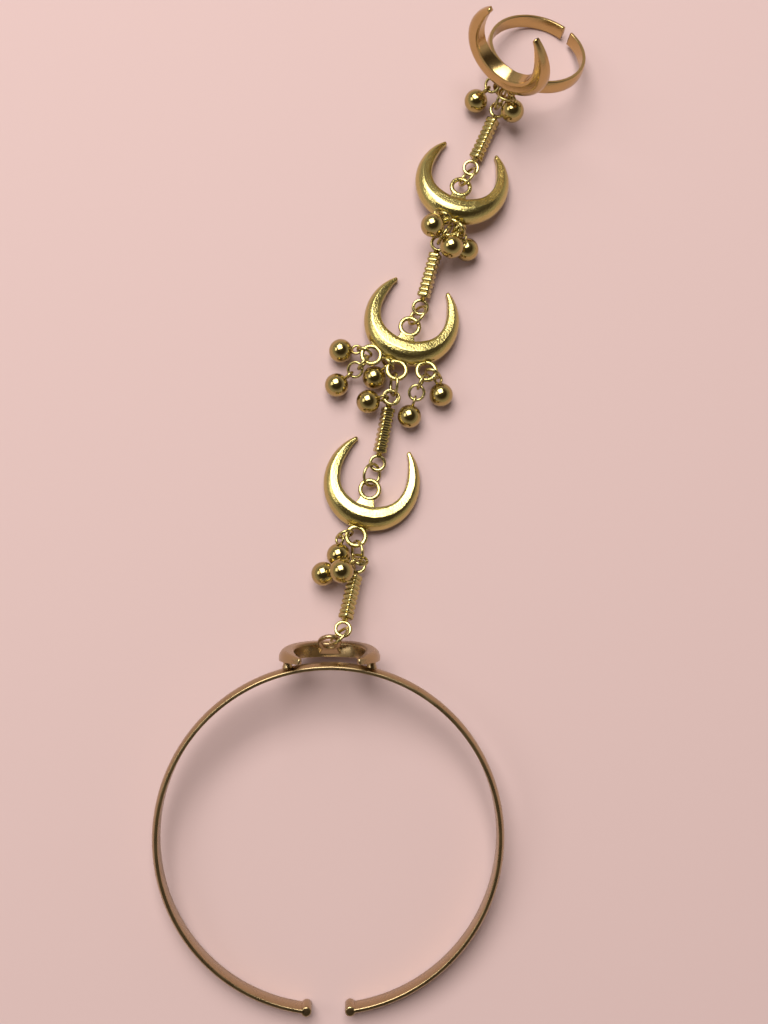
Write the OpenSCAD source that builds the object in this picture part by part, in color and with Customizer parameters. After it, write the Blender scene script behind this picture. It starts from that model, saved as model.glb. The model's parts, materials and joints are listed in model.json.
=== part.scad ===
// Hand chain bracelet: an open wrist bangle, a chain of crescents, ribbed bars and ball drops,
// and an open finger ring, lying on a level surface. Millimetres, +Z up, the chain runs along +Y.

/* [Wrist bangle] */
// Outer radius of the band
cuff_r = 30.6; // [28:0.1:33]
// Width of the band, along the wrist
cuff_w = 4; // [3.4:0.1:4.6]
// Thickness of the band at the crown of its domed face
cuff_t = 1.2; // [1:0.05:1.4]
// Thickness of the band at its two edges
cuff_edge_t = 0.6; // [0.4:0.05:0.8]
// Clear opening between the two end knobs
cuff_gap = 5.8; // [4:0.1:9]
// Diameter of each end knob
knob_d = 1.8; // [1.6:0.1:2.2]
// Stand-off of the front crescent from the crown of the band
front_standoff = 0.4; // [0.2:0.05:0.8]
// Distance of each soldered leg from the middle of the front crescent
leg_x = 7.3; // [6.8:0.1:7.6]
// Diameter of each soldered leg
leg_d = 1.5; // [1.2:0.1:1.8]
// Angle at which the front loop is bent out of its crescent
front_loop_lean = 40; // [30:1:50]

/* [Finger ring] */
// Outer radius of the band
ring_r = 9.45; // [9:0.05:10]
// Width of the band
ring_w = 2.55; // [2.2:0.05:2.9]
// Thickness of the band
ring_t = 0.8; // [0.7:0.05:1]
// Clear opening between the two ends of the band
ring_gap = 1.8; // [1:0.1:4]
// Direction of the opening round the ring, from its lowest point
ring_gap_dir = 28; // [16:1:56]
// Lean of the ring's axis from upright, as it lies
ring_lean = 25.5; // [22:0.5:28]
// Heading toward which the ring's axis leans
ring_heading = 19.5; // [15:0.5:24]
// Direction of the crescent round the ring, from its lowest point
ring_moon_dir = 202; // [197:0.5:207]
// Height of the crescent's centre above the middle of the band, along the axis
ring_moon_rise = 6.6; // [6.4:0.1:6.8]
// Angle at which the crescent leans out from the band
ring_moon_lean = 15.5; // [14.5:0.5:16.5]
// Distance from the band to the back of the crescent at its centre
ring_moon_off = 1.85; // [1.8:0.05:1.9]

/* [Crescents] */
// Radius of the outer outline at the belly
moon_r = 8.75; // [8.5:0.05:9]
// Sweep from the belly to each horn tip
moon_sweep = 146; // [140:1:148]
// Outward flare of the outline at the tips, as a share of the radius
moon_flare = 0.07; // [0:0.01:0.1]
// Radial width at the belly
moon_belly = 4.5; // [4.2:0.05:4.8]
// Thickness at the crown of the belly
moon_t = 2.8; // [2.4:0.05:3]
// Height of the outer rim edge at the belly
moon_rim = 0.8; // [0.6:0.05:1]
// Distance from the centre down to the bay loop
bay_drop = 1.2; // [1:0.05:1.4]
// Distance from the centre down to the lower loop
low_drop = 10.2; // [10:0.05:10.5]
// Angle of the two side loops of the middle crescent from its belly
side_turn = 31; // [29:0.5:34]

/* [Loops, bars, rings and balls] */
// Mean radius of a crescent's cast loop
loop_r = 1.6; // [1.55:0.05:1.7]
// Thickness of a crescent's cast loop
loop_wire = 0.55; // [0.45:0.05:0.55]
// Distance between the two loop centres of a bar
bar_reach = 12.3; // [12.2:0.05:12.4]
// Length of a bar's body between its loops
bar_body = 8.3; // [8:0.1:8.5]
// Diameter of a bar over its ribs
bar_d = 2.5; // [2.2:0.05:2.6]
// Number of ribs on a bar
bar_ribs = 7; // [5:1:9]
// Mean radius of a bar's loop
bar_loop_r = 1.3; // [1.25:0.05:1.35]
// Thickness of a bar's loop
bar_wire = 0.55; // [0.45:0.05:0.6]
// Mean radius of the jump rings that join the chain
link_r = 2; // [1.98:0.01:2.04]
// Thickness of the jump rings that join the chain
link_wire = 0.5; // [0.4:0.05:0.5]
// Diameter of a ball
ball_d = 4.35; // [4.2:0.05:4.4]
// Mean radius of the eye on a ball
eye_r = 0.85; // [0.85:0.05:0.9]
// Height of the eye's centre above the ball's surface
eye_rise = 0.75; // [0.7:0.01:0.8]
// Thickness of the eye on a ball
eye_wire = 0.5; // [0.4:0.05:0.5]
// Mean radius of the jump rings that carry the balls
drop_r = 1.35; // [1.3:0.05:1.4]
// Thickness of the jump rings that carry the balls
drop_wire = 0.5; // [0.4:0.05:0.5]
// Clearance between a hanging ring and the wire that carries it
hang_gap = 0.1; // [0.05:0.01:0.14]

/* [Hidden] */
$fn = 64;

up = [0, 0, 1];
gold = [0.80, 0.66, 0.36];

// Vectors and frames
// A frame is [centre, x axis, y axis, z axis].
function unit(v) = v / norm(v);
function heading(a) = [sin(a), cos(a), 0];
function at(f, p) = f[0] + f[1] * p[0] + f[2] * p[1] + f[3] * p[2];
function side_of(u) = unit(cross(u, up));

// Sets its children in a frame, with the origin under the middle of the whole piece
module place(f)
    translate(-middle) multmatrix([
        [f[1][0], f[2][0], f[3][0], f[0][0]],
        [f[1][1], f[2][1], f[3][1], f[0][1]],
        [f[1][2], f[2][2], f[3][2], f[0][2]],
        [0, 0, 0, 1]
    ]) children();

// The bangle as it lies
// The belly of its upright front crescent and the heel of its two knobs touch the surface.
knob_ease = 0.12 * knob_d;
knob_r = cuff_r - knob_d / 2;
knob_turn = asin((cuff_gap + knob_d) / 2 / knob_r);
cuff_heel = knob_r * cos(knob_turn) + knob_d / 2 - knob_ease;
cuff_tilt = atan((moon_r - cuff_w / 2) / (cuff_heel + cuff_r + front_standoff));
cuff_z = cuff_heel * sin(cuff_tilt) + cuff_w / 2 * cos(cuff_tilt);
cuff_axis = [0, -sin(cuff_tilt), cos(cuff_tilt)];
cuff_front = [0, cos(cuff_tilt), sin(cuff_tilt)];
cuff = [cuff_z * up, [1, 0, 0], cuff_front, cuff_axis];
front_moon = [
    cuff[0] + cuff_front * (cuff_r + front_standoff),
    [-1, 0, 0], cuff_axis, cuff_front
];

// Crescent outline
// Height of the cast loops' middle above a crescent's flat back
loop_z = 0.9;
bay_floor = moon_r - moon_belly;
// Depth to which a foot or neck runs into the metal that it joins
foot_root = 0.3;
// Across the sweep: share of the sweep, width, bevel and height as shares of their size at the belly
MOON_SECTIONS = [
    [0.00, 1.00, 1.00, 1.00],
    [0.25, 0.92, 0.86, 0.97],
    [0.45, 0.75, 0.64, 0.88],
    [0.65, 0.63, 0.50, 0.76],
    [0.80, 0.53, 0.41, 0.64],
    [0.92, 0.38, 0.30, 0.52],
    [1.00, 0.15, 0.14, 0.38]
];
// Across the outer slope from rim to crown: share of the bevel, share of the rise
SLOPE = [[0.00, 0.00], [0.22, 0.52], [0.58, 0.84], [1.00, 1.00]];
// At the inner edge: share of the width in from the edge, share of the height
INNER_EDGE = [[0.20, 0.975], [0.05, 0.88]];
moon_bevel = 0.49 * moon_belly;
function section(k, t) = lookup(t, [for (s = MOON_SECTIONS) [s[0], s[k]]]);
function outline_r(t) = moon_r * (1 + moon_flare * pow(max(0, 2 * t - 1), 2));
function tip_reach() = -outline_r(1) * cos(moon_sweep);

// The route of the chain
// One row a piece, from the bangle to the finger ring: heading of the jump ring before it, reach of
// that ring in plan, heading of the piece, then for a bar the heights of its near and far loop and
// for a crescent its pitch.
ROUTE = [
    [45, 3.3, 12.6, 5.9, 2.3],
    [-3, 5.3, 16.1, 4.6],
    [16, 5.1, 11, 1.55, 2.6],
    [13, 4.9, 16.3, 10],
    [27, 4.4, 16, 1.6, 3.4],
    [38, 3.2, 14.8, 13.3],
    [26, 4.7, 24.5, 1.7, 2.2],
    [11.8, 2.3]
];
LAST = len(ROUTE) - 1;
function is_bar(i) = i % 2 == 0 && i < LAST;

// Loop bent out of the front crescent, as a frame
front_loop = [
    at(front_moon, [0, -bay_floor + loop_stem() * cos(front_loop_lean),
                    loop_z + loop_stem() * sin(front_loop_lean)]),
    [1, 0, 0],
    cuff_axis * cos(front_loop_lean) + cuff_front * sin(front_loop_lean),
    cuff_front * cos(front_loop_lean) - cuff_axis * sin(front_loop_lean)
];
function loop_stem() = bay_floor - bay_drop;

// Plan position at which piece i starts, from the loop that piece i - 1 ends with
function start(i) =
    let (p = i == 0 ? front_loop[0] : far_loop(i - 1)[0])
    [p[0], p[1], 0] + heading(ROUTE[i][0]) * ROUTE[i][1];
function near_loop(i) =
    i == LAST ? moon_loop_frame(ring_moon, [0, -low_drop])
    : is_bar(i) ? bar_end(i, 0) : moon_loop_frame(moon(i), [0, -low_drop]);
function far_loop(i) =
    is_bar(i) ? bar_end(i, 1) : moon_loop_frame(moon(i), [0, -bay_drop]);

// A bar: frame at its middle, x axis along it, z axis upward
function bar(i) =
    let (r = ROUTE[i], rise = r[4] - r[3], run = sqrt(pow(bar_reach, 2) - pow(rise, 2)))
    let (u = unit(heading(r[2]) * run + up * rise), s = side_of(u))
    [start(i) + up * r[3] + u * bar_reach / 2, u, -s, cross(u, -s)];
function bar_end(i, e) =
    let (b = bar(i))
    [b[0] + b[1] * bar_reach * (e - 0.5), b[1], b[2], b[3]];

// A lying crescent: its horn tips touch the surface and its belly is raised by the pitch
function moon_axes(h, p) = [
    cross(heading(h) * cos(p) - up * sin(p), heading(h) * sin(p) + up * cos(p)),
    heading(h) * cos(p) - up * sin(p),
    heading(h) * sin(p) + up * cos(p)
];
function moon(i) =
    let (h = ROUTE[i][2], p = ROUTE[i][3], a = moon_axes(h, p))
    let (c = start(i) + a[1] * low_drop - a[2] * loop_z)
    [[c[0], c[1], tip_reach() * sin(p)], a[0], a[1], a[2]];
function moon_loop_frame(m, xy) = [at(m, [xy[0], xy[1], loop_z]), m[1], m[2], m[3]];

// The finger ring as it lies
ring_axis = [
    sin(ring_lean) * sin(ring_heading), sin(ring_lean) * cos(ring_heading), cos(ring_lean)
];
ring_low = [
    cos(ring_lean) * sin(ring_heading), cos(ring_lean) * cos(ring_heading), -sin(ring_lean)
];
ring_side = [cos(ring_heading), -sin(ring_heading), 0];
ring_face = cos(ring_moon_dir) * ring_low + sin(ring_moon_dir) * ring_side;
ring_moon_y = ring_axis * cos(ring_moon_lean) + ring_face * sin(ring_moon_lean);
ring_moon_z = ring_face * cos(ring_moon_lean) - ring_axis * sin(ring_moon_lean);
// Radius of the band's outer edges, which lie inside its domed crown
ring_edge_t = 0.75 * ring_t;
ring_edge_r = ring_r - ring_t + ring_edge_t;
ring_z = ring_edge_r * sin(ring_lean) + ring_w / 2 * cos(ring_lean);
// From the ring's centre to its crescent's centre, and on to the crescent's lower loop
ring_to_moon = ring_face * (ring_r + ring_moon_off) + ring_axis * ring_moon_rise;
ring_to_loop = ring_to_moon - ring_moon_y * low_drop + ring_moon_z * loop_z;
ring_centre = [
    start(LAST)[0] - ring_to_loop[0], start(LAST)[1] - ring_to_loop[1], ring_z
];
ring = [ring_centre, ring_low, -ring_side, ring_axis];
ring_moon = [
    ring_centre + ring_to_moon, cross(ring_moon_y, ring_moon_z), ring_moon_y, ring_moon_z
];

// The middle of the whole piece in plan, under which the origin lies
cuff_back = (cuff_heel + knob_ease) * cos(cuff_tilt) + (cuff_w / 2 - knob_ease) * sin(cuff_tilt);
function ring_half(k) = ring_edge_r * sqrt(1 - pow(ring_axis[k], 2)) + ring_w / 2 * ring_axis[k];
middle = [
    (ring_centre[0] + ring_half(0) - cuff_r) / 2, (ring_centre[1] + ring_half(1) - cuff_back) / 2, 0
];

// Jump rings that join the chain
// One row a ring: its shift from the middle of its two loops along the chain, sideways and up, its
// lean from upright and its turn about the vertical.
LINKS = [
    [0, 0.4, 0.7, 16, -3],
    [-0.2, 0.1, 0, 26, -3],
    [0.15, -0.4, 0.2, -43, 1],
    [-0.1, 0.1, 0.2, 18, -7],
    [0.4, 0.2, 0.2, 33, 1],
    [0.1, 0, 0.2, 0, 0],
    [0.2, 0.2, 0.1, 28, 1],
    [-0.3, 0.1, -1.0, -20, 4]
];
function link(i) =
    let (a = i == 0 ? front_loop[0] : far_loop(i - 1)[0], b = near_loop(i)[0], r = LINKS[i])
    let (u = unit(b - a), s = side_of(u), v = cross(s, u))
    let (along = cos(r[4]) * u + sin(r[4]) * s, across = cos(r[4]) * s - sin(r[4]) * u)
    let (tall = cos(r[3]) * v + sin(r[3]) * across)
    [(a + b) / 2 + r[0] * u + r[1] * s + r[2] * v, along, tall, cross(along, tall)];

// Ball drops
// A ring that hangs in another: angle round the carrying ring, swing out of that ring's plane and
// twist about its own pull. x axis along the pull.
function hung(f, carrier_r, carrier_wire, a, r, wire) =
    let (out = cos(a[0]) * f[1] + sin(a[0]) * f[2], along = -sin(a[0]) * f[1] + cos(a[0]) * f[2])
    let (pull = cos(a[1]) * out + sin(a[1]) * f[3], n0 = cross(along, pull))
    let (n = cos(a[2]) * along + sin(a[2]) * n0)
    [f[0] + carrier_r * out + pull * (r - (carrier_wire + wire) / 2 - hang_gap),
     pull, cross(n, pull), n];
function side_loop(s) =
    moon_loop_frame(moon(3), [s * low_drop * sin(side_turn), -low_drop * cos(side_turn)]);
function on_loop(f, a) = hung(f, loop_r, loop_wire, a, drop_r, drop_wire);
function on_bar(f, a) = hung(f, bar_loop_r, bar_wire, a, drop_r, drop_wire);
function on_link(f, a) = hung(f, link_r, link_wire, a, drop_r, drop_wire);
function on_drop(f, a) = hung(f, drop_r, drop_wire, a, drop_r, drop_wire);
function eye_on(f, a) = hung(f, drop_r, drop_wire, a, eye_r, eye_wire);

// The two extra rings that carry a ball ring each below the middle crescent's side loops
left_carrier = on_loop(side_loop(-1), [-118, -53, 4]);
right_carrier = on_loop(side_loop(1), [-99, -26, -4]);
// One row a drop: the frame of its ring and the three angles of its eye in that ring
DROPS = [
    [on_loop(near_loop(1), [-171, 58, -27]), [100, 64, -2]],
    [on_bar(far_loop(0), [130, -7, -10]), [-12, -22, -12]],
    [on_link(link(1), [130, -55, 7]), [14, 24, 15]],
    [on_loop(side_loop(-1), [161, -100, 9]), [-87, 27, -5]],
    [on_drop(left_carrier, [-19, -42, -5]), [-34, -25, 3]],
    [on_loop(near_loop(3), [154, -47, -2]), [33, 83, 1]],
    [on_link(link(3), [155, -39, -13]), [49, 26, -4]],
    [on_loop(side_loop(1), [4, -124, -11]), [-92, -51, 6]],
    [on_drop(right_carrier, [-4, 4, 1]), [-4, 1, 8]],
    [on_loop(near_loop(5), [143, 70, -23]), [41, 95, -7]],
    [on_loop(near_loop(5), [-12, 77, 27]), [102, -78, -3]],
    [on_loop(near_loop(5), [10, -81, 31]), [-4, -62, -13]],
    [on_loop(near_loop(7), [-175, 0, 33]), [-68, 17, 10]],
    [on_loop(near_loop(7), [33, 83, 29]), [81, -83, -6]]
];

// Shapes
module torus(r, wire)
    rotate_extrude() translate([r, 0]) circle(d = wire);

module wire_ring(f, r, wire)
    color(gold) place(f) torus(r, wire);

// Cast loop in the crescent's plane with a flared foot that runs back to the metal behind it
module cast_loop(reach) {
    foot_w = 2 * loop_r;
    neck_w = 1.25 * loop_r;
    foot_t = 0.8 * loop_wire;
    torus(loop_r, loop_wire);
    translate([0, 0, -foot_t / 2]) linear_extrude(foot_t) polygon([
        [-foot_w / 2, -reach], [foot_w / 2, -reach], [neck_w / 2, -loop_r], [-neck_w / 2, -loop_r]
    ]);
}

module moon_body() {
    n = 60;
    m = 2 + len(SLOPE) + len(INNER_EDGE);
    points = [
        for (i = [0:n])
            let (phi = moon_sweep * (2 * i / n - 1), t = abs(phi) / moon_sweep)
            let (ro = outline_r(t), w = moon_belly * section(1, t), b = moon_bevel * section(2, t))
            let (h = moon_t * section(3, t), rim = min(moon_rim, 0.55 * h), ri = ro - w)
            for (p = [
                [ri, 0], [ro, 0],
                for (q = SLOPE) [ro - b * q[0], rim + (h - rim) * q[1]],
                for (q = INNER_EDGE) [ri + w * q[0], h * q[1]]
            ]) [p[0] * sin(phi), -p[0] * cos(phi), p[1]]
    ];
    sides = [
        for (i = [0:n - 1], j = [0:m - 1])
            let (a = i * m + j, b = i * m + (j + 1) % m)
            each [[a, b, b + m], [a, b + m, a + m]]
    ];
    caps = [
        for (j = [1:m - 2]) each [[0, j + 1, j], [n * m, n * m + j, n * m + j + 1]]
    ];
    polyhedron(points, concat(sides, caps));
}

// A crescent with its cast loops: bay loop, lower loop and a pair of side loops, each where asked
module crescent(bay_lean, has_bay, has_low, has_sides) {
    color(gold) {
        moon_body();
        if (has_bay)
            translate([0, -bay_floor, loop_z]) rotate([bay_lean, 0, 0])
                translate([0, loop_stem(), 0]) cast_loop(loop_stem() + foot_root);
        if (has_low)
            translate([0, -low_drop, loop_z]) rotate(180) cast_loop(low_drop - moon_r + foot_root);
        if (has_sides)
            for (s = [-1, 1]) rotate(s * side_turn) translate([0, -low_drop, loop_z])
                rotate(180) cast_loop(low_drop - moon_r + foot_root);
    }
}

// Half-round cross-section of a band: flat inside, domed outside, flat narrow edges
module band_section(r, w, t, edge_t) {
    crown = t - edge_t;
    dome_r = (pow(w / 2, 2) + pow(crown, 2)) / (2 * crown);
    intersection() {
        translate([r - t, -w / 2]) square([t, w]);
        translate([r - dome_r, 0]) circle(dome_r);
    }
}

// Open band about the z axis with its opening centred on the direction given
module open_band(r, w, t, edge_t, opening, dir)
    rotate(dir + opening / 2) rotate_extrude(angle = 360 - opening)
        band_section(r, w, t, edge_t);

// Round stop at one end of the bangle's band, with eased ends
module knob() {
    end_d = knob_d - 2 * knob_ease;
    translate([0, 0, -cuff_w / 2]) cylinder(d1 = end_d, d2 = knob_d, h = knob_ease);
    cylinder(d = knob_d, h = cuff_w - 2 * knob_ease, center = true);
    translate([0, 0, cuff_w / 2 - knob_ease]) cylinder(d1 = knob_d, d2 = end_d, h = knob_ease);
}

module cuff_bangle() {
    color(gold) place(cuff) {
        open_band(cuff_r, cuff_w, cuff_t, cuff_edge_t, 2 * knob_turn, -90);
        for (s = [-1, 1]) rotate(s * knob_turn) translate([0, -knob_r, 0]) knob();
    }
    color(gold) place(front_moon) {
        // Depth from the crescent's back to the middle of the band's wall behind a leg
        leg = front_standoff + cuff_r - sqrt(pow(cuff_r - cuff_t / 2, 2) - pow(leg_x, 2));
        for (s = [-1, 1])
            translate([s * leg_x, 0, -leg]) cylinder(d = leg_d, h = leg + moon_rim / 2);
        crescent(front_loop_lean, true, false, false);
    }
}

module finger_ring() {
    opening = 2 * asin(ring_gap / 2 / ring_r);
    // From the crescent's centre down its back to the crown of the band, and from there into the
    // middle of the band's wall
    seat = ring_moon_rise / cos(ring_moon_lean);
    solder = (ring_moon_off - seat * sin(ring_moon_lean) + ring_t / 2) / cos(ring_moon_lean);
    color(gold) place(ring) open_band(ring_r, ring_w, ring_t, ring_edge_t, opening, -ring_gap_dir);
    color(gold) place(ring_moon) translate([0, -seat, -solder])
        cylinder(d = 0.9 * ring_w, h = solder + moon_rim / 2);
    place(ring_moon) crescent(0, false, true, false);
}

module lying_crescent(i, has_sides) place(moon(i)) crescent(0, true, true, has_sides);

// Ribbed bar about the x axis with a collar and a cast loop at each end
module bar_body_shape() {
    core_r = 0.7 * bar_d / 2;
    collar = 0.1 * bar_body;
    pitch = (bar_body - 2 * collar) / bar_ribs;
    rib_r = pitch * 0.48;
    rotate([0, 90, 0]) {
        rotate_extrude() {
            translate([0, -bar_body / 2]) square([core_r, bar_body]);
            for (s = [-1, 1]) translate([0, s * (bar_body - collar) / 2 - collar / 2])
                square([bar_d / 2, collar]);
            for (k = [0:bar_ribs - 1])
                translate([bar_d / 2 - rib_r, (k - (bar_ribs - 1) / 2) * pitch]) circle(rib_r);
        }
        cylinder(d = 2 * bar_wire, h = bar_reach - 2 * bar_loop_r, center = true);
    }
    for (s = [-1, 1]) translate([s * bar_reach / 2, 0, 0]) torus(bar_loop_r, bar_wire);
}

module bar_piece(i)
    color(gold) place(bar(i)) bar_body_shape();

// Ball with a round eye on it that points back to its ring
module ball(i) {
    e = eye_on(DROPS[i][0], DROPS[i][1]);
    color(gold) {
        place(e) translate([ball_d / 2 + eye_rise, 0, 0]) sphere(d = ball_d);
        place(e) torus(eye_r, eye_wire);
    }
}

module drop_ring(i) wire_ring(DROPS[i][0], drop_r, drop_wire);

cuff_bangle();
lying_crescent(1, false);  // crescent_lower
lying_crescent(3, true);  // crescent_middle
lying_crescent(5, false);  // crescent_upper
finger_ring();
bar_piece(6);  // bar_1
bar_piece(4);  // bar_2
bar_piece(2);  // bar_3
bar_piece(0);  // bar_4
wire_ring(link(0), link_r, link_wire);  // link_bangle
wire_ring(link(1), link_r, link_wire);  // link_bar_4
wire_ring(link(2), link_r, link_wire);  // link_lower
wire_ring(link(3), link_r, link_wire);  // link_bar_3
wire_ring(link(4), link_r, link_wire);  // link_middle
wire_ring(link(5), link_r, link_wire);  // link_bar_2
wire_ring(link(6), link_r, link_wire);  // link_upper
wire_ring(link(7), link_r, link_wire);  // link_bar_1
wire_ring(left_carrier, drop_r, drop_wire);  // carrier_left
wire_ring(right_carrier, drop_r, drop_wire);  // carrier_right
ball(0);  // ball_1
ball(1);  // ball_2
ball(2);  // ball_3
ball(3);  // ball_4
ball(4);  // ball_5
ball(5);  // ball_6
ball(6);  // ball_7
ball(7);  // ball_8
ball(8);  // ball_9
ball(9);  // ball_10
ball(10);  // ball_11
ball(11);  // ball_12
ball(12);  // ball_13
ball(13);  // ball_14
drop_ring(0);  // ball_ring_1
drop_ring(1);  // ball_ring_2
drop_ring(2);  // ball_ring_3
drop_ring(3);  // ball_ring_4
drop_ring(4);  // ball_ring_5
drop_ring(5);  // ball_ring_6
drop_ring(6);  // ball_ring_7
drop_ring(7);  // ball_ring_8
drop_ring(8);  // ball_ring_9
drop_ring(9);  // ball_ring_10
drop_ring(10);  // ball_ring_11
drop_ring(11);  // ball_ring_12
drop_ring(12);  // ball_ring_13
drop_ring(13);  // ball_ring_14
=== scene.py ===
import json
import math

import bmesh
import bpy
import numpy as np
from mathutils import Matrix, Vector


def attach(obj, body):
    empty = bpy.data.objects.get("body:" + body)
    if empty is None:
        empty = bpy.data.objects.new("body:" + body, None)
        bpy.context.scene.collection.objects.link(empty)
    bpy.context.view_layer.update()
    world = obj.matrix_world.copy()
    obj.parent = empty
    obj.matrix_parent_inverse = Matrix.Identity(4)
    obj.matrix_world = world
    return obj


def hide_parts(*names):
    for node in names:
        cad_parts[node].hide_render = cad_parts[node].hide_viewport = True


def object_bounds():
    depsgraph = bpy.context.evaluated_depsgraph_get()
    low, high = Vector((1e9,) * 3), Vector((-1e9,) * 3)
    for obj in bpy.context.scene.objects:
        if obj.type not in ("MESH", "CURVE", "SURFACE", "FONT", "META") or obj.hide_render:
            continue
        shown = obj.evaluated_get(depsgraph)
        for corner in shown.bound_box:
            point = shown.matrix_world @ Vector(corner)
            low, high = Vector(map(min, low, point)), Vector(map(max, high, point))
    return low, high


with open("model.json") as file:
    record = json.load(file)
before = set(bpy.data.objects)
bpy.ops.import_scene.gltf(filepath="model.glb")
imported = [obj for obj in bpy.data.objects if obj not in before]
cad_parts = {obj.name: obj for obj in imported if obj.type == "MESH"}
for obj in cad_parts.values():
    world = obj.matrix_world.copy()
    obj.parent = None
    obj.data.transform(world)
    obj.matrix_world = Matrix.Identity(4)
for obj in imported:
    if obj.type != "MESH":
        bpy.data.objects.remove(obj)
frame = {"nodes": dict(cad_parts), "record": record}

MM = 0.001
FULL_TURN = 2 * math.pi
cad_low, cad_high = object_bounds()
nodes = frame["nodes"]

# Bangle: an open band with a knob at each end, and two legs that carry its crescent
CUFF_R = 30.6 * MM
CUFF_W = 4 * MM
CUFF_T = 1.2 * MM
CUFF_EDGE_T = 0.6 * MM
CUFF_GAP = 5.8 * MM
KNOB_D = 1.8 * MM
KNOB_EASE = 0.3 * MM
FRONT_STANDOFF = 0.4 * MM
FRONT_LOOP_LEAN = math.radians(40)
LEG_X = 7.3 * MM
LEG_D = 1.5 * MM
# Collar of solder round a leg's foot: radius at the foot and above, height of its side and its top
COLLAR_R = 0.62 * LEG_D
COLLAR_TOP_R = 0.6 * LEG_D
COLLAR_SIDE = 0.75 * MM
COLLAR_TOP = 1.0 * MM

# Finger ring and the place of its crescent
RING_R = 9.45 * MM
RING_W = 2.55 * MM
RING_T = 0.8 * MM
RING_EDGE_T = 0.6 * MM
RING_GAP = 1.8 * MM
RING_MOON_RISE = 6.6 * MM
RING_MOON_LEAN = math.radians(15.5)
RING_MOON_OFF = 1.85 * MM
RING_SOLDER_R = 0.45 * RING_W
# Turn about the ring's axis from its crescent to its opening
RING_OPENING_TURN = math.radians(174)

# Rounding of a band's edges and of its domed outer face
BAND_EASE = 0.14 * MM
DOME_EASE = 0.4 * MM

# Crescents
MOON_R = 8.75 * MM
MOON_SWEEP = math.radians(146)
MOON_FLARE = 0.07
MOON_BELLY = 4.5 * MM
MOON_T = 2.8 * MM
MOON_RIM = 0.8 * MM
MOON_BEVEL = 0.49 * MOON_BELLY
# Most that a rim takes of a section's height
RIM_SHARE = 0.55
# Across the sweep: share of the sweep, width, bevel and height as shares of the belly's
MOON_SECTIONS = (
    (0.00, 1.00, 1.00, 1.00),
    (0.25, 0.92, 0.86, 0.97),
    (0.45, 0.75, 0.64, 0.88),
    (0.65, 0.63, 0.50, 0.76),
    (0.80, 0.53, 0.41, 0.64),
    (0.92, 0.38, 0.30, 0.52),
    (1.00, 0.15, 0.14, 0.38),
)
# Share of the sweep over which the table is eased to each side, and its steps
EASE_WINDOW = 0.06
EASE_STEPS = 4
# Across the outer slope from rim to crown: share of the bevel, share of the rise
SLOPE = ((0.00, 0.00), (0.22, 0.52), (0.58, 0.84), (1.00, 1.00))
# At the inner edge: share of the width in from the edge, share of the height
INNER_EDGE = ((0.20, 0.975), (0.05, 0.88))
# Rounding of a section: at its back edges, and the most over its face, as a length and as a share
# of its width
BACK_EASE = 0.1 * MM
FACE_EASE = 0.6 * MM
FACE_EASE_SHARE = 0.3
# How many times the face's rounding each point of the slope and of the inner edge has
SLOPE_EASE = (1, 3, 3, 1)
INNER_EASE = (1, 0.5)
# Length of a horn's rounded end, and its steps in degrees of a quarter turn
HORN_END = 0.26 * MM
HORN_STEPS = (30, 60, 82)

# Cast loops of the crescents: LOOP_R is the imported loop's, and the finer one is thicker outward
BAY_FLOOR = MOON_R - MOON_BELLY
BAY_DROP = 1.2 * MM
LOW_DROP = 10.2 * MM
SIDE_TURN = math.radians(31)
LOOP_Z = 0.9 * MM
LOOP_R = 1.6 * MM
CAST_LOOP_R = 1.71 * MM
CAST_LOOP_W = 0.82 * MM
CAST_LOOP_T = 0.74 * MM
# Foot of a cast loop: its half widths, where its neck starts, its depth in the metal behind,
# its half thickness at the neck, what that gains toward the root, and the rounding of its corners
FOOT_HALF = 1.3 * LOOP_R
NECK_HALF = 0.85 * LOOP_R
NECK_START = 0.93 * LOOP_R
FOOT_ROOT = 0.3 * MM
NECK_THICK = 0.25 * MM
FOOT_GAIN = 0.08 * MM
FOOT_EASE = 0.2 * MM
FOOT_LEVELS = 9

# Bars
BAR_REACH = 12.3 * MM
BAR_BODY = 8.3 * MM
BAR_D = 2.5 * MM
BAR_RIBS = 7
BAR_GROOVE = 0.36 * MM
BAR_COLLAR = 0.1 * BAR_BODY
BAR_EASE = 0.12 * MM
BAR_LOOP_R = 1.3 * MM
BAR_LOOP_W = 0.62 * MM
BAR_LOOP_T = 0.6 * MM
BAR_NECK_R = 0.55 * MM
# Radius of the inner points of a bar's end face, as a share of the bar's
BAR_END_SHARE = 0.3
# Places across a rib as shares of half a pitch, and the power of its rounding
RIB_PLACES = (-1, -0.86, -0.62, -0.3, 0, 0.3, 0.62, 0.86)
RIB_POWER = 2.6
# A bar's rounded square: its power, and its half width as a share of the mean radius
CUSHION_POWER = 4.5
CUSHION_SHARE = 0.9
# Roll of each bar's square body about its length, in degrees
BAR_ROLLS = (("bar_1", 30), ("bar_2", 20), ("bar_3", -18), ("bar_4", 45))

# Jump rings: the seam of each is turned on from that of the one before, in radians
LINK_R = 2 * MM
DROP_R = 1.35 * MM
RING_WIRE = 0.56 * MM
SEAM = 0.05 * MM
FIRST_SEAM = 1.3
SEAM_TURN = 2.4

# Squareness of a cast loop's section, where 1 is an ellipse
CAST_POWER = 0.8

# Smudges and tints of the plate, and its cast grain
SMUDGE = 0.06
SMUDGE_SCALE = 420
SMUDGE_DETAIL = 3
GLOSS_MIN = 0.02
DARK_TINT = 0.85
LIGHT_TINT = 1.08
GRAIN_DETAIL = 2
GRAIN_DEPTH = 0.05 * MM

# Search for a crescent's flat back: how far it may face from the rough direction, how many faces
# are tried, and how even its faces are in direction and in height
BACK_SPREAD = math.radians(30)
BACK_TRIES = 300
BACK_EVEN = 0.99999
BACK_LEVEL = 0.02 * MM
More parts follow.
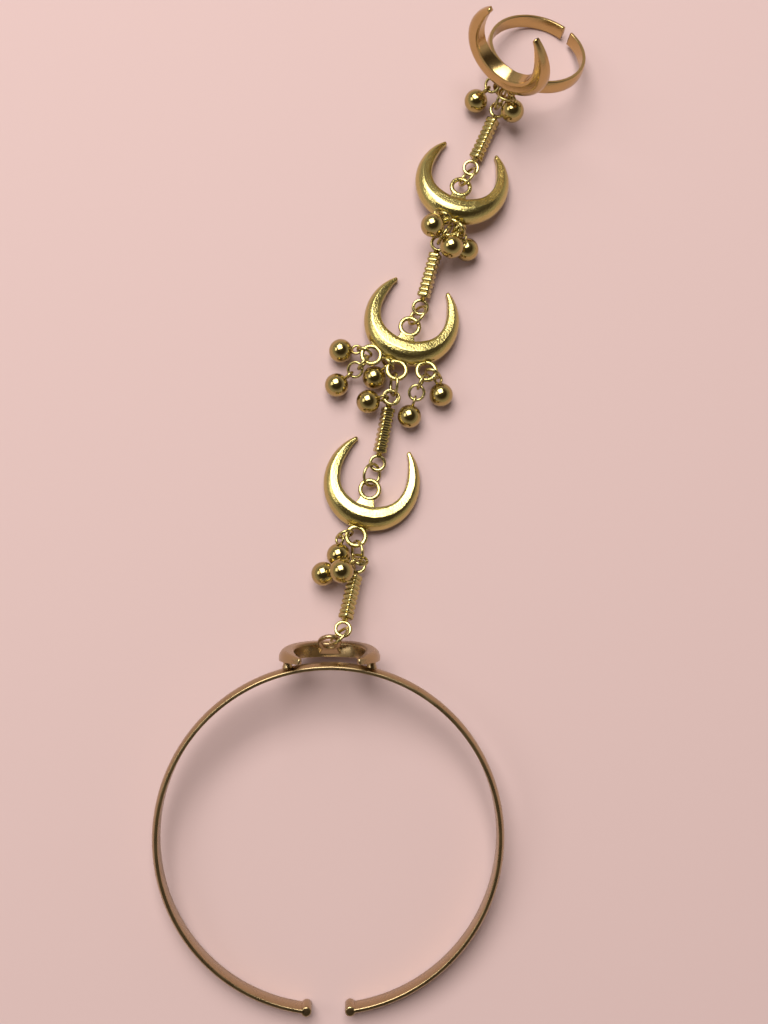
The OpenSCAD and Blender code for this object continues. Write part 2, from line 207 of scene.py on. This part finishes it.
# Triangles under this area, in square metres, are left out
SLIVER = 1e-15
# Points this far beyond a bar's body belong to its loops
PAST_BODY = 0.5 * MM


# Materials
def new_material(name):
    mat = bpy.data.materials.new(name)
    mat.use_nodes = True
    tree = mat.node_tree
    return mat, tree, tree.nodes["Principled BSDF"]


def noise(tree, coord, scale, detail):
    texture = tree.nodes.new("ShaderNodeTexNoise")
    texture.inputs["Scale"].default_value = scale
    texture.inputs["Detail"].default_value = detail
    tree.links.new(coord.outputs["Object"], texture.inputs["Vector"])
    return texture.outputs["Fac"]


def gold(name, color, roughness, grain=0.0, grain_scale=5000):
    """Gold-tone plate: an even metal with faint smudges in its gloss, and a cast grain where asked."""
    mat, tree, bsdf = new_material(name)
    bsdf.inputs["Metallic"].default_value = 1
    coord = tree.nodes.new("ShaderNodeTexCoord")
    cloud = noise(tree, coord, SMUDGE_SCALE, SMUDGE_DETAIL)
    gloss = tree.nodes.new("ShaderNodeMapRange")
    gloss.inputs["To Min"].default_value = max(GLOSS_MIN, roughness - SMUDGE)
    gloss.inputs["To Max"].default_value = roughness + SMUDGE
    tree.links.new(cloud, gloss.inputs["Value"])
    tree.links.new(gloss.outputs["Result"], bsdf.inputs["Roughness"])
    tint = tree.nodes.new("ShaderNodeMix")
    tint.data_type = "RGBA"
    tint.inputs["A"].default_value = (*[c * DARK_TINT for c in color], 1)
    tint.inputs["B"].default_value = (*[min(1, c * LIGHT_TINT) for c in color], 1)
    tree.links.new(cloud, tint.inputs["Factor"])
    tree.links.new(tint.outputs["Result"], bsdf.inputs["Base Color"])
    if grain:
        bump = tree.nodes.new("ShaderNodeBump")
        bump.inputs["Strength"].default_value = grain
        bump.inputs["Distance"].default_value = GRAIN_DEPTH
        tree.links.new(noise(tree, coord, grain_scale, GRAIN_DETAIL), bump.inputs["Height"])
        tree.links.new(bump.outputs["Normal"], bsdf.inputs["Normal"])
    return mat


MATERIALS = {
    "bangle_metal": gold("bangle_plate", (0.42, 0.30, 0.15), 0.28, grain=0.15),
    "ring_metal": gold("ring_plate", (0.54, 0.37, 0.15), 0.20, grain=0.25),
    "crescent_metal": gold("crescent_plate", (0.57, 0.47, 0.17), 0.20, grain=0.8, grain_scale=3600),
    "bar_metal": gold("bar_plate", (0.57, 0.47, 0.19), 0.18, grain=0.2),
    "ball_metal": gold("ball_plate", (0.47, 0.37, 0.14), 0.14),
    "wire_metal": gold("wire_plate", (0.52, 0.43, 0.17), 0.18),
}


def paint(obj, slot):
    obj.data.materials.clear()
    obj.data.materials.append(MATERIALS[slot])


def paint_solids():
    slots = {part["node"]: part["material_slot"] for part in frame["record"]["subparts"]}
    for name, obj in nodes.items():
        paint(obj, slots[name])


# Meshes
def new_piece(name, bm, slot, *stands_for):
    bmesh.ops.recalc_face_normals(bm, faces=bm.faces)
    mesh = bpy.data.meshes.new(name)
    bm.to_mesh(mesh)
    bm.free()
    obj = bpy.data.objects.new(name, mesh)
    bpy.context.scene.collection.objects.link(obj)
    for face in mesh.polygons:
        face.use_smooth = True
    paint(obj, slot)
    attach(obj, "root")
    if stands_for:
        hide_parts(*stands_for)


def loft(bm, frame_at, sections, closed=False):
    """Skin through closed sections of equally many points; capped at both ends unless closed."""
    rows = [[bm.verts.new(frame_at @ Vector(p)) for p in points] for points in sections]
    steps = len(rows) if closed else len(rows) - 1
    for i in range(steps):
        a, b = rows[i], rows[(i + 1) % len(rows)]
        for j in range(len(a)):
            k = (j + 1) % len(a)
            bm.faces.new((a[j], a[k], b[k], b[j]))
    if not closed:
        bm.faces.new(rows[0])
        bm.faces.new(rows[-1])


def swept_ring(bm, frame_at, section, start, end, steps):
    """Section of (radius, height) points turned about z from start to end; a whole turn closes."""
    whole = math.isclose(abs(end - start), FULL_TURN)
    count = steps if whole else steps + 1
    rows = []
    for i in range(count):
        a = start + (end - start) * i / steps
        rows.append([(r * math.cos(a), r * math.sin(a), z) for r, z in section])
    loft(bm, frame_at, rows, closed=whole)


def turned(bm, frame_at, outline, around):
    """Outline of (radius, height) points, from axis to axis, turned about z."""
    rows = []
    for i in range(around):
        a = FULL_TURN * i / around
        rows.append([bm.verts.new(frame_at @ Vector((r * math.cos(a), r * math.sin(a), h)))
                     for r, h in outline[1:-1]])
    foot = bm.verts.new(frame_at @ Vector((0, 0, outline[0][1])))
    head = bm.verts.new(frame_at @ Vector((0, 0, outline[-1][1])))
    for i in range(around):
        a, b = rows[i], rows[(i + 1) % around]
        bm.faces.new((foot, b[0], a[0]))
        bm.faces.new((head, a[-1], b[-1]))
        for j in range(len(a) - 1):
            bm.faces.new((a[j], b[j], b[j + 1], a[j + 1]))


# Outlines
def arc_points(centre, radius, start, end, count):
    angles = [start + (end - start) * i / (count - 1) for i in range(count)]
    return [(centre[0] + radius * math.cos(a), centre[1] + radius * math.sin(a)) for a in angles]


def rounded_corners(points, radii, count=5):
    """Closed outline with each corner rounded by its radius, as far as its two sides allow."""
    most = 0.45
    out = []
    for i, p in enumerate(points):
        p = Vector(p)
        before, after = Vector(points[i - 1]) - p, Vector(points[(i + 1) % len(points)]) - p
        back = radii[i] / math.tan(before.angle(after) / 2)
        back = min(back, most * before.length, most * after.length)
        a, b = p + before.normalized() * back, p + after.normalized() * back
        for k in range(count):
            t = k / (count - 1)
            out.append(tuple(a * (1 - t) ** 2 + p * 2 * t * (1 - t) + b * t ** 2))
    return out


def round_section(radius, wire, count=16):
    """Round wire about its mean radius, as (radius, height) points."""
    angles = [FULL_TURN * j / count for j in range(count)]
    return [(radius + wire / 2 * math.cos(a), wire / 2 * math.sin(a)) for a in angles]


def cast_section(radius, width, height, count=16):
    """Slightly squared section of a cast loop about its mean radius, as (radius, height) points."""
    out = []
    for j in range(count):
        a = FULL_TURN * j / count
        c, s = math.cos(a), math.sin(a)
        out.append((radius + width / 2 * math.copysign(abs(c) ** CAST_POWER, c),
                    height / 2 * math.copysign(abs(s) ** CAST_POWER, s)))
    return out


# Places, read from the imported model
def triangles(node):
    """Points of a node's mesh, its triangles, and their normals and areas."""
    mesh = nodes[node].data
    co = np.array([v.co for v in mesh.vertices])
    mesh.calc_loop_triangles()
    tri = np.array([t.vertices[:] for t in mesh.loop_triangles])
    a, b, c = co[tri[:, 0]], co[tri[:, 1]], co[tri[:, 2]]
    cross = np.cross(b - a, c - a)
    area = np.linalg.norm(cross, axis=1) / 2
    keep = area > SLIVER
    tri, cross, area = tri[keep], cross[keep], area[keep]
    return co, tri, cross / (2 * area[:, None]), area


def centre_and_axes(middle, area):
    """Centre of a surface from its triangles' middles and areas, and as columns its main
    directions, from the thinnest to the longest."""
    centre = (middle * area[:, None]).sum(0) / area.sum()
    local = middle - centre
    _, axes = np.linalg.eigh((local * area[:, None]).T @ local)
    return centre, axes


def axes_matrix(x, y, z, centre):
    out = Matrix((x, y, z)).transposed().to_4x4()
    out.translation = Vector(centre)
    return out


def directions(frame_at):
    """The x, y and z directions of a frame."""
    turn = frame_at.to_3x3()
    return [turn @ Vector(v) for v in ((1, 0, 0), (0, 1, 0), (0, 0, 1))]


def ring_frame(node):
    """Frame of a plain ring from its surface: its middle, with z along its axis."""
    co, tri, _, area = triangles(node)
    centre, axes = centre_and_axes(co[tri].mean(1), area)
    z, x = Vector(axes[:, 0]), Vector(axes[:, 2])
    return axes_matrix(x, z.cross(x), z, centre)


def bar_frame(node):
    """Frame of a bar, with z along it and y along the axis of its end loops, which is the
    thinnest way through the points beyond its body."""
    co, tri, _, area = triangles(node)
    centre, axes = centre_and_axes(co[tri].mean(1), area)
    along = axes[:, 2]
    reach = (co - centre) @ along
    loops = co[np.abs(reach) > BAR_BODY / 2 + PAST_BODY]
    flat = loops - centre - np.outer((loops - centre) @ along, along)
    _, ways = np.linalg.eigh(flat.T @ flat)
    # The way along the bar has no extent left here, so it can come first
    thinnest = ways[:, 1] if abs(ways[:, 0] @ along) > 0.5 else ways[:, 0]
    y, z = Vector(thinnest), Vector(along)
    return axes_matrix(y.cross(z), y, z, centre)


def flat_back(co, tri, normal, area, away):
    """The widest flat face that looks roughly away, as indexes of its triangles."""
    facing = np.where(normal @ np.array(away) > math.cos(BACK_SPREAD))[0]
    widest, back = 0, None
    for f in facing[::max(1, len(facing) // BACK_TRIES)]:
        here = co[tri[f, 0]]
        flat = facing[normal[facing] @ normal[f] > BACK_EVEN]
        flat = flat[np.abs((co[tri[flat]].mean(1) - here) @ normal[f]) < BACK_LEVEL]
        if area[flat].sum() > widest:
            widest, back = area[flat].sum(), flat
    return back


def crescent_frame(node, toward, lower):
    """Frame of a node's crescent from its flat back, which looks away from toward; y runs up
    from the belly, and lower is a rough direction of the belly."""
    co, tri, normal, area = triangles(node)
    back = flat_back(co, tri, normal, area, -Vector(toward).normalized())
    z = -(normal[back] * area[back, None]).sum(0)
    z /= np.linalg.norm(z)
    _, axes = centre_and_axes(co[tri[back]].mean(1), area[back])
    # The crescent is the same on both sides of y, so x and y are the two flat axes of its area
    belly = np.array(lower)
    y = max((axes[:, 1], axes[:, 2]), key=lambda v: abs(v @ belly))
    y = -y if y @ belly > 0 else y
    y = y - z * (y @ z)
    y /= np.linalg.norm(y)
    x = np.cross(y, z)
    points = co[np.unique(tri[back])]
    across = points @ x
    centre = x * (across.max() + across.min()) / 2 + z * (points[0] @ z)
    centre = centre + y * ((points @ y).min() + MOON_R)
    return axes_matrix(Vector(x), Vector(y), Vector(z), centre)


# Crescents
def share(column, t):
    """A column of the table of sections at a share of the sweep."""
    for a, b in zip(MOON_SECTIONS, MOON_SECTIONS[1:]):
        if t <= b[0]:
            u = (t - a[0]) / (b[0] - a[0])
            return a[column] + (b[column] - a[column]) * u
    return MOON_SECTIONS[-1][column]


def smooth_share(column, t):
    """The table's value eased over a small window, so that no crease shows between its rows."""
    steps = range(-EASE_STEPS, EASE_STEPS + 1)
    places = [max(0, min(1, abs(t + EASE_WINDOW * k / EASE_STEPS))) for k in steps]
    return sum(share(column, p) for p in places) / len(places)


def moon_profile(t):
    """Rounded cross-section at a share of the sweep, as (radius, height) points."""
    outer = MOON_R * (1 + MOON_FLARE * max(0, 2 * t - 1) ** 2)
    width = MOON_BELLY * smooth_share(1, t)
    bevel = MOON_BEVEL * smooth_share(2, t)
    height = MOON_T * smooth_share(3, t)
    rim = min(MOON_RIM, RIM_SHARE * height)
    inner = outer - width
    points = [(inner, 0), (outer, 0)]
    points += [(outer - bevel * u, rim + (height - rim) * v) for u, v in SLOPE]
    points += [(inner + width * u, height * v) for u, v in INNER_EDGE]
    ease = min(FACE_EASE, FACE_EASE_SHARE * width)
    radii = [BACK_EASE, BACK_EASE] + [k * ease for k in SLOPE_EASE + INNER_EASE]
    return rounded_corners(points, radii)


def horn_end(section, side):
    """Ever smaller copies of a horn's last section, which round off its tip."""
    middle = Vector([sum(p[k] for p in section) / len(section) for k in range(3)])
    phi = side * MOON_SWEEP
    along = Vector((math.cos(phi), math.sin(phi), 0)) * side * HORN_END
    caps = []
    for step in HORN_STEPS:
        size = math.cos(math.radians(step))
        out = along * math.sin(math.radians(step))
        caps.append([tuple(middle + (Vector(p) - middle) * size + out) for p in section])
    return caps


def moon_body(bm, frame_at, steps=150):
    sections = []
    for i in range(steps + 1):
        phi = MOON_SWEEP * (2 * i / steps - 1)
        profile = moon_profile(abs(phi) / MOON_SWEEP)
        sections.append([(r * math.sin(phi), -r * math.cos(phi), z) for r, z in profile])
    first = list(reversed(horn_end(sections[0], -1)))
    last = horn_end(sections[-1], 1)
    loft(bm, frame_at, first + sections + last)


def cast_loop(bm, frame_at, reach):
    """Cast loop in the crescent's plane, with a flared foot that runs back to the metal behind it."""
    section = cast_section(CAST_LOOP_R, CAST_LOOP_W, CAST_LOOP_T)
    swept_ring(bm, frame_at, section, 0, FULL_TURN, steps=56)
    sections = []
    for i in range(FOOT_LEVELS):
        u = i / (FOOT_LEVELS - 1)
        y = -NECK_START - (reach - NECK_START) * u
        half = NECK_HALF + (FOOT_HALF - NECK_HALF) * u ** 2
        thick = NECK_THICK + FOOT_GAIN * u
        corners = [(-half, -thick), (half, -thick), (half, thick), (-half, thick)]
        sections.append([(x, y, z) for x, z in rounded_corners(corners, [FOOT_EASE] * 4)])
    loft(bm, frame_at, sections)


def add_crescent(bm, frame_at, bay=None, low=False, sides=False):
    """Crescent with its cast loops. bay is the lean of the bay loop about the bay's floor, or None
    where there is no such loop. low asks for one at the middle of the rim, sides for two beside it."""
    moon_body(bm, frame_at)
    stem = BAY_FLOOR - BAY_DROP
    if bay is not None:
        at = (Matrix.Translation((0, -BAY_FLOOR, LOOP_Z)) @ Matrix.Rotation(bay, 4, "X")
              @ Matrix.Translation((0, stem, 0)))
        cast_loop(bm, frame_at @ at, stem + FOOT_ROOT)
    turns = ([0] if low else []) + ([-SIDE_TURN, SIDE_TURN] if sides else [])
    for turn in turns:
        at = (Matrix.Rotation(turn, 4, "Z") @ Matrix.Translation((0, -LOW_DROP, LOOP_Z))
              @ Matrix.Rotation(math.pi, 4, "Z"))
        cast_loop(bm, frame_at @ at, LOW_DROP - MOON_R + FOOT_ROOT)


def make_crescents():
    for name in ("crescent_lower", "crescent_middle", "crescent_upper"):
        at = crescent_frame(name, toward=(0, 0, 1), lower=(0, -1, 0))
        bm = bmesh.new()
        add_crescent(bm, at, bay=0, low=True, sides=(name == "crescent_middle"))
        new_piece(name + "_cast", bm, "crescent_metal", name)


# Bands
def band_profile(radius, width, thick, edge_t):
    """Half-round section with eased edges, as (radius, height) points."""
    crown = thick - edge_t
    dome = ((width / 2) ** 2 + crown ** 2) / (2 * crown)
    half = math.asin(width / 2 / dome)
    outer = arc_points((radius - dome, 0), dome, -half, half, count=11)
    inner = [(radius - thick, width / 2), (radius - thick, -width / 2)]
    radii = [BAND_EASE] + [DOME_EASE] * (len(outer) - 2) + [BAND_EASE] * 3
    return rounded_corners(outer + inner, radii, count=3)


def knob_outline():
    """Half outline of a knob with eased rims, as (radius, height) points."""
    half = CUFF_W / 2
    rim = KNOB_D / 2 - KNOB_EASE
    foot = arc_points((rim, KNOB_EASE - half), KNOB_EASE, -math.pi / 2, 0, count=5)
    head = arc_points((rim, half - KNOB_EASE), KNOB_EASE, 0, math.pi / 2, count=5)
    return [(0, -half)] + foot + head + [(0, half)]


def leg_outline():
    """Leg from the band into the crescent's back, with a collar of solder where it meets the band."""
    foot = -(FRONT_STANDOFF + CUFF_R - math.sqrt((CUFF_R - CUFF_T / 2) ** 2 - LEG_X ** 2))
    tip = MOON_RIM / 2
    collar = [(COLLAR_R, foot), (COLLAR_TOP_R, foot + COLLAR_SIDE)]
    leg = [(LEG_D / 2, foot + COLLAR_TOP), (LEG_D / 2, tip)]
    return [(0, foot)] + collar + leg + [(0, tip)]


def make_bangle():
    at = crescent_frame("cuff_bangle", toward=(0, 1, 0.1), lower=(0, 0, -1))
    x, y, z = directions(at)
    centre = at.translation - z * (CUFF_R + FRONT_STANDOFF)
    cuff = axes_matrix(-x, z, y, centre)
    knob_r = CUFF_R - KNOB_D / 2
    turn = math.asin((CUFF_GAP + KNOB_D) / 2 / knob_r)
    back = -math.pi / 2
    bm = bmesh.new()
    profile = band_profile(CUFF_R, CUFF_W, CUFF_T, CUFF_EDGE_T)
    swept_ring(bm, cuff, profile, back + turn, back + FULL_TURN - turn, steps=240)
    for side in (-1, 1):
        place = Matrix.Rotation(side * turn, 4, "Z") @ Matrix.Translation((0, -knob_r, 0))
        turned(bm, cuff @ place, knob_outline(), around=40)
        turned(bm, at @ Matrix.Translation((side * LEG_X, 0, 0)), leg_outline(), around=32)
    new_piece("bangle", bm, "bangle_metal", "cuff_bangle")
    bm = bmesh.new()
    add_crescent(bm, at, bay=FRONT_LOOP_LEAN)
    new_piece("bangle_crescent", bm, "bangle_metal")


def make_finger_ring():
    at = crescent_frame("finger_ring", toward=(-0.65, -0.75, 0.15), lower=(0, -0.2, -1))
    _, y, z = directions(at)
    lean_cos, lean_sin = math.cos(RING_MOON_LEAN), math.sin(RING_MOON_LEAN)
    axis = y * lean_cos - z * lean_sin
    face = z * lean_cos + y * lean_sin
    centre = at.translation - face * (RING_R + RING_MOON_OFF) - axis * RING_MOON_RISE
    ring = axes_matrix(face, axis.cross(face), axis, centre)
    opening = math.asin(RING_GAP / 2 / RING_R)
    first = RING_OPENING_TURN + opening
    bm = bmesh.new()
    profile = band_profile(RING_R, RING_W, RING_T, RING_EDGE_T)
    swept_ring(bm, ring, profile, first, first + FULL_TURN - 2 * opening, steps=160)
    # Solder from the middle of the band's wall into the crescent's back
    seat = RING_MOON_RISE / lean_cos
    deep = (RING_MOON_OFF - seat * lean_sin + RING_T / 2) / lean_cos
    tip = MOON_RIM / 2
    solder = [(0, -deep), (RING_SOLDER_R, -deep), (RING_SOLDER_R, tip), (0, tip)]
    turned(bm, at @ Matrix.Translation((0, -seat, 0)), solder, around=32)
    add_crescent(bm, at, low=True)
    new_piece("ring_with_crescent", bm, "ring_metal", "finger_ring")


# Bars
def bar_outline():
    """(radius, height) along a bar: a collar at each end and ribs between them."""
    half = BAR_BODY / 2
    top = BAR_D / 2
    edge = half - BAR_COLLAR
    out = [(BAR_END_SHARE * top, -half), (top - BAR_EASE, -half), (top, BAR_EASE - half),
           (top, -edge - BAR_EASE), (top - BAR_EASE, -edge)]
    pitch = 2 * edge / BAR_RIBS
    for k in range(BAR_RIBS):
        middle = (k - (BAR_RIBS - 1) / 2) * pitch
        out += [(top - BAR_GROOVE * abs(u) ** RIB_POWER, middle + u * pitch / 2) for u in RIB_PLACES]
    out += [(top - BAR_GROOVE, edge), (top - BAR_EASE, edge), (top, edge + BAR_EASE),
            (top, half - BAR_EASE), (top - BAR_EASE, half), (BAR_END_SHARE * top, half)]
    return out


def cushion(radius, height, around=48):
    """Rounded square about a mean radius, at a height along the bar."""
    out = []
    for i in range(around):
        a = FULL_TURN * i / around
        c, s = math.cos(a), math.sin(a)
        spread = (abs(c) ** CUSHION_POWER + abs(s) ** CUSHION_POWER) ** (1 / CUSHION_POWER)
        r = CUSHION_SHARE * radius / spread
        out.append((r * c, r * s, height))
    return out


def make_bars():
    """Ribbed bars with a cushion-square section, each rolled as it lies, and a cast loop at each end."""
    half = BAR_REACH / 2
    neck = half - BAR_LOOP_R
    core = [(0, -neck), (BAR_NECK_R, -neck), (BAR_NECK_R, neck), (0, neck)]
    section = cast_section(BAR_LOOP_R, BAR_LOOP_W, BAR_LOOP_T)
    for name, roll in BAR_ROLLS:
        at = bar_frame(name)
        bm = bmesh.new()
        body = at @ Matrix.Rotation(math.radians(roll), 4, "Z")
        loft(bm, body, [cushion(r, h) for r, h in bar_outline()])
        turned(bm, at, core, around=24)
        for end in (-half, half):
            loop = at @ Matrix.Translation((0, 0, end)) @ Matrix.Rotation(math.pi / 2, 4, "X")
            swept_ring(bm, loop, section, 0, FULL_TURN, steps=48)
        new_piece(name + "_cast", bm, "bar_metal", name)


# Jump rings
def make_rings():
    """Each jump ring is a turn of wire whose two ends meet at a fine seam."""
    names = sorted(name for name in nodes if name.startswith(("link", "carrier", "ball_ring")))
    for i, name in enumerate(names):
        radius = LINK_R if name.startswith("link") else DROP_R
        gap = SEAM / radius / 2
        first = FIRST_SEAM + SEAM_TURN * i
        bm = bmesh.new()
        section = round_section(radius, RING_WIRE)
        swept_ring(bm, ring_frame(name), section, first + gap, first + FULL_TURN - gap, steps=72)
        new_piece(name + "_wire", bm, "wire_metal", name)


paint_solids()
make_bangle()
make_finger_ring()
make_crescents()
make_bars()
make_rings()

# Stage
FLOOR_COLOR = (0.60, 0.435, 0.41)
FLOOR_ROUGHNESS = 0.85
FLOOR_SPECULAR = 0.15
FLOOR_SIZE = 3.0
FLOOR_BELOW = 0.02 * MM
# Colours of the room toward its walls and overhead, and the rise of a view at which each is full
WALL_COLOR = (0.85, 0.75, 0.70)
WALL_HEIGHT = 0.25
OVERHEAD_COLOR = (0.09, 0.07, 0.05)
OVERHEAD_HEIGHT = 0.7
ROOM_STRENGTH = 0.62


def make_floor():
    mesh = bpy.data.meshes.new("floor")
    h = FLOOR_SIZE / 2
    mesh.from_pydata([(-h, -h, 0), (h, -h, 0), (h, h, 0), (-h, h, 0)], [], [(0, 1, 2, 3)])
    floor = bpy.data.objects.new("floor", mesh)
    floor.location = (0, 0, cad_low[2] - FLOOR_BELOW)
    bpy.context.scene.collection.objects.link(floor)
    mat, _, bsdf = new_material("floor_matt")
    bsdf.inputs["Base Color"].default_value = (*FLOOR_COLOR, 1)
    bsdf.inputs["Roughness"].default_value = FLOOR_ROUGHNESS
    bsdf.inputs["Specular IOR Level"].default_value = FLOOR_SPECULAR
    mesh.materials.append(mat)


def area_light(name, azimuth, elevation, distance, size, power, color):
    """Softbox that looks at the middle of the object. Its azimuth is counted from +Y toward +X,
    and both angles are in degrees."""
    az, el = math.radians(azimuth), math.radians(elevation)
    toward = Vector((math.sin(az) * math.cos(el), math.cos(az) * math.cos(el), math.sin(el)))
    data = bpy.data.lights.new(name, "AREA")
    data.shape = "RECTANGLE"
    data.size, data.size_y = size
    data.energy = power
    data.color = color
    obj = bpy.data.objects.new(name, data)
    obj.location = toward * distance
    obj.rotation_euler = (-obj.location).to_track_quat("-Z", "Y").to_euler()
    bpy.context.scene.collection.objects.link(obj)


def make_world():
    """Dim room: dark overhead, lighter toward the walls."""
    world = bpy.data.worlds.new("room")
    world.use_nodes = True
    bpy.context.scene.world = world
    tree = world.node_tree
    back = tree.nodes["Background"]
    coord = tree.nodes.new("ShaderNodeTexCoord")
    split = tree.nodes.new("ShaderNodeSeparateXYZ")
    ramp = tree.nodes.new("ShaderNodeValToRGB")
    tree.links.new(coord.outputs["Generated"], split.inputs["Vector"])
    tree.links.new(split.outputs["Z"], ramp.inputs["Fac"])
    wall, overhead = ramp.color_ramp.elements
    wall.position = WALL_HEIGHT
    wall.color = (*WALL_COLOR, 1)
    overhead.position = OVERHEAD_HEIGHT
    overhead.color = (*OVERHEAD_COLOR, 1)
    tree.links.new(ramp.outputs["Color"], back.inputs["Color"])
    back.inputs["Strength"].default_value = ROOM_STRENGTH


make_floor()
make_world()
area_light("window", azimuth=-20, elevation=60, distance=1.0, size=(0.72, 0.76), power=13.6,
           color=(1.0, 0.98, 0.97))
area_light("side_window", azimuth=-80, elevation=42, distance=1.1, size=(0.5, 0.4), power=1.6,
           color=(1.0, 0.98, 0.96))
bpy.context.scene.view_settings.view_transform = "Standard"

# Camera
CAMERA_AT = Vector((-6.62, -29.54, 233)) * MM
LOOKS_AT = Vector((1.34, -3.49, 0)) * MM
LENS_MM = 45
SENSOR_MM = 36
CLIP_START = 1 * MM


def make_camera():
    forward = (LOOKS_AT - CAMERA_AT).normalized()
    right = forward.cross(Vector((0, 1, 0))).normalized()
    above = right.cross(forward)
    data = bpy.data.cameras.new("camera")
    data.lens = LENS_MM
    data.sensor_width = SENSOR_MM
    data.sensor_fit = "AUTO"
    data.clip_start = CLIP_START
    obj = bpy.data.objects.new("camera", data)
    obj.matrix_world = Matrix((right, above, -forward)).transposed().to_4x4()
    obj.matrix_world.translation = CAMERA_AT
    bpy.context.scene.collection.objects.link(obj)
    bpy.context.scene.camera = obj


make_camera()
